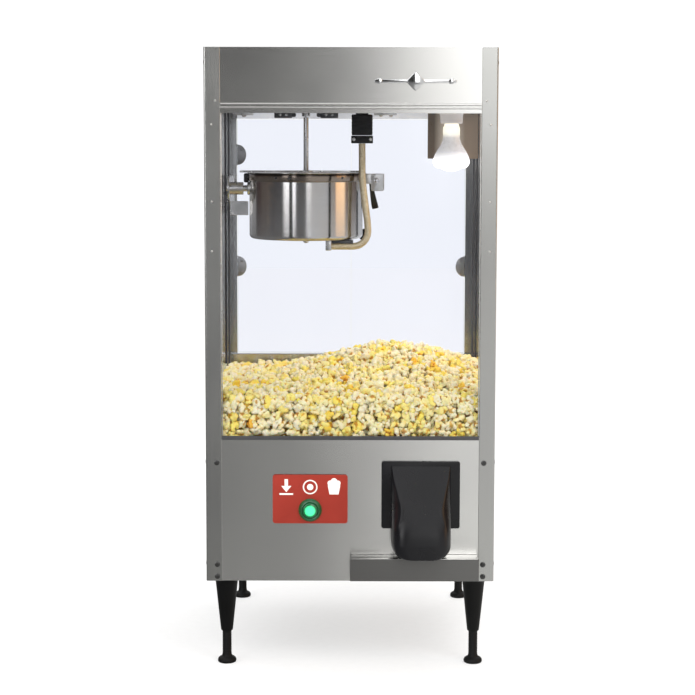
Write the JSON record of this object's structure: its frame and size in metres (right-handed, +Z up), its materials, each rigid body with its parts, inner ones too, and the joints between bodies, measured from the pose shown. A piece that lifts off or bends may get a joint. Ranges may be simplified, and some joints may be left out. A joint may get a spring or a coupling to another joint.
{
  "type": "popcorn dispenser",
  "caption": "Counter-top glazed popcorn cabinet on legs, with a tilting kettle, lamp, hopper, auger, push button and dispensing chute.",
  "frame": {"origin": "middle of the bounding box in plan, on the surface that the feet stand on", "axes": "+Z up, +X to the user's right, and the front with the chute and button faces -Y"},
  "size_m": [0.508, 0.608, 1.09],
  "materials": {
    "post_steel": "brushed stainless, vertical grain",
    "panel_steel": "brushed stainless, horizontal grain",
    "inner_steel": "mill finish stainless",
    "kettle_steel": "spun stainless with heat tint",
    "fitting_steel": "brushed stainless fittings",
    "lamp_shield_metal": "dull dark sheet metal",
    "motor_metal": "cast, painted grey",
    "hinge_chrome": "polished",
    "pane": "clear tempered glass",
    "door_pane": "clear acrylic sheet",
    "black_plastic": "fine moulded texture",
    "chute_plastic": "satin moulded",
    "leg_paint": "black powder coat",
    "foot_rubber": "matt rubber",
    "label_film": "satin printed film",
    "button_lens": "lit translucent lens",
    "lamp_glass": "frosted reflector lamp, lit",
    "porcelain": "glazed",
    "conduit_braid": "woven metal braid",
    "popped_corn": "dry, crumpled kernels"
  },
  "bodies": {
    "root": {"post_front_left": "post_steel", "post_front_right": "post_steel", "post_rear_left": "post_steel", "post_rear_right": "post_steel", "lower_shell": "panel_steel", "front_lower_panel": "panel_steel", "rear_lower_panel": "panel_steel", "header_fascia": "panel_steel", "header_wrap": "panel_steel", "rear_control_panel": "panel_steel", "ceiling_plate": "inner_steel", "cord_gland": "black_plastic", "front_window": "pane", "left_window": "pane", "right_window": "pane", "hinge_left_upper": "hinge_chrome", "hinge_left_lower": "hinge_chrome", "hinge_right_upper": "hinge_chrome", "hinge_right_lower": "hinge_chrome", "hopper_floor": "inner_steel", "auger_trough": "inner_steel", "auger_gearmotor": "motor_metal", "popcorn": "popped_corn", "dispensing_chute": "chute_plastic", "crumb_shelf": "panel_steel", "button_label": "label_film", "button_bezel": "black_plastic", "button_switch": "black_plastic", "lamp_shield": "lamp_shield_metal", "lamp_socket": "porcelain", "lamp_bulb": "lamp_glass", "kettle_outlet": "black_plastic", "kettle_plug": "black_plastic", "kettle_conduit": "conduit_braid", "kettle_bracket": "fitting_steel", "agitator_motor": "motor_metal", "leg_front_left": "leg_paint", "leg_front_right": "leg_paint", "leg_rear_left": "leg_paint", "leg_rear_right": "leg_paint"},
    "kettle": {"kettle_body": "kettle_steel", "kettle_terminal_box": "fitting_steel", "dump_handle": "black_plastic", "lid_bar": "fitting_steel"},
    "lid_front": {"lid_front": "kettle_steel"},
    "lid_rear": {"lid_rear": "kettle_steel"},
    "agitator": {"agitator": "fitting_steel"},
    "drive_coupling": {"drive_coupling": "fitting_steel"},
    "door_left": {"door_left": "door_pane", "door_knob_left": "black_plastic"},
    "door_right": {"door_right": "door_pane", "door_knob_right": "black_plastic"},
    "auger": {"auger": "inner_steel"},
    "button": {"button_cap": "button_lens"},
    "agitator_rocker": {"agitator_rocker": "black_plastic"},
    "lamp_rocker": {"lamp_rocker": "black_plastic"},
    "foot_front_left": {"foot_front_left": "foot_rubber"},
    "foot_front_right": {"foot_front_right": "foot_rubber"},
    "foot_rear_left": {"foot_rear_left": "foot_rubber"},
    "foot_rear_right": {"foot_rear_right": "foot_rubber"}
  },
  "joints": [
    {"name": "door_left_swing", "type": "hinge", "parent": "root", "child": "door_left", "pos_m": [-0.2295, 0.2823, 0.737], "axis": [0, 0, 1], "range_deg": [0, 110]},
    {"name": "door_right_swing", "type": "hinge", "parent": "root", "child": "door_right", "pos_m": [0.2295, 0.2823, 0.737], "axis": [0, 0, -1], "range_deg": [0, 110]},
    {"name": "kettle_tilt", "type": "hinge", "parent": "root", "child": "kettle", "pos_m": [-0.0865, 0.115, 0.836], "axis": [1, 0, 0], "range_deg": [0, 75], "deforming": ["kettle_conduit"]},
    {"name": "lid_front_lift", "type": "hinge", "parent": "kettle", "child": "lid_front", "pos_m": [-0.0865, 0.1088, 0.8679], "axis": [-1, 0, 0], "range_deg": [0, 80]},
    {"name": "lid_rear_lift", "type": "hinge", "parent": "kettle", "child": "lid_rear", "pos_m": [-0.0865, 0.1212, 0.8679], "axis": [1, 0, 0], "range_deg": [0, 80]},
    {"name": "agitator_spin", "type": "hinge", "parent": "kettle", "child": "agitator", "pos_m": [-0.0865, 0.115, 0.836], "axis": [0, 0, 1], "continuous": true},
    {"name": "drive_spin", "type": "hinge", "parent": "root", "child": "drive_coupling", "pos_m": [-0.0865, 0.115, 0.98], "axis": [0, 0, 1], "continuous": true},
    {"name": "auger_spin", "type": "hinge", "parent": "root", "child": "auger", "pos_m": [0.124, 0, 0.312], "axis": [0, 1, 0], "continuous": true},
    {"name": "button_press", "type": "slide", "parent": "root", "child": "button", "axis": [0, 1, 0], "range_m": [0, 0.004], "stiffness_N_per_m": 600, "springref_m": -0.002},
    {"name": "agitator_rocker_tilt", "type": "hinge", "parent": "root", "child": "agitator_rocker", "pos_m": [0.04, 0.2765, 1.034], "axis": [1, 0, 0], "range_deg": [0, 20]},
    {"name": "lamp_rocker_tilt", "type": "hinge", "parent": "root", "child": "lamp_rocker", "pos_m": [0.09, 0.2765, 1.034], "axis": [1, 0, 0], "range_deg": [0, 20]},
    {"name": "foot_front_left_screw", "type": "slide", "parent": "root", "child": "foot_front_left", "axis": [0, 0, 1], "range_m": [-0.015, 0.025]},
    {"name": "foot_front_right_screw", "type": "slide", "parent": "root", "child": "foot_front_right", "axis": [0, 0, 1], "range_m": [-0.015, 0.025]},
    {"name": "foot_rear_left_screw", "type": "slide", "parent": "root", "child": "foot_rear_left", "axis": [0, 0, 1], "range_m": [-0.015, 0.025]},
    {"name": "foot_rear_right_screw", "type": "slide", "parent": "root", "child": "foot_rear_right", "axis": [0, 0, 1], "range_m": [-0.015, 0.025]}
  ],
  "couplings": [
    {"joint": "drive_spin", "follows": "agitator_spin", "ratio": 1}
  ]
}
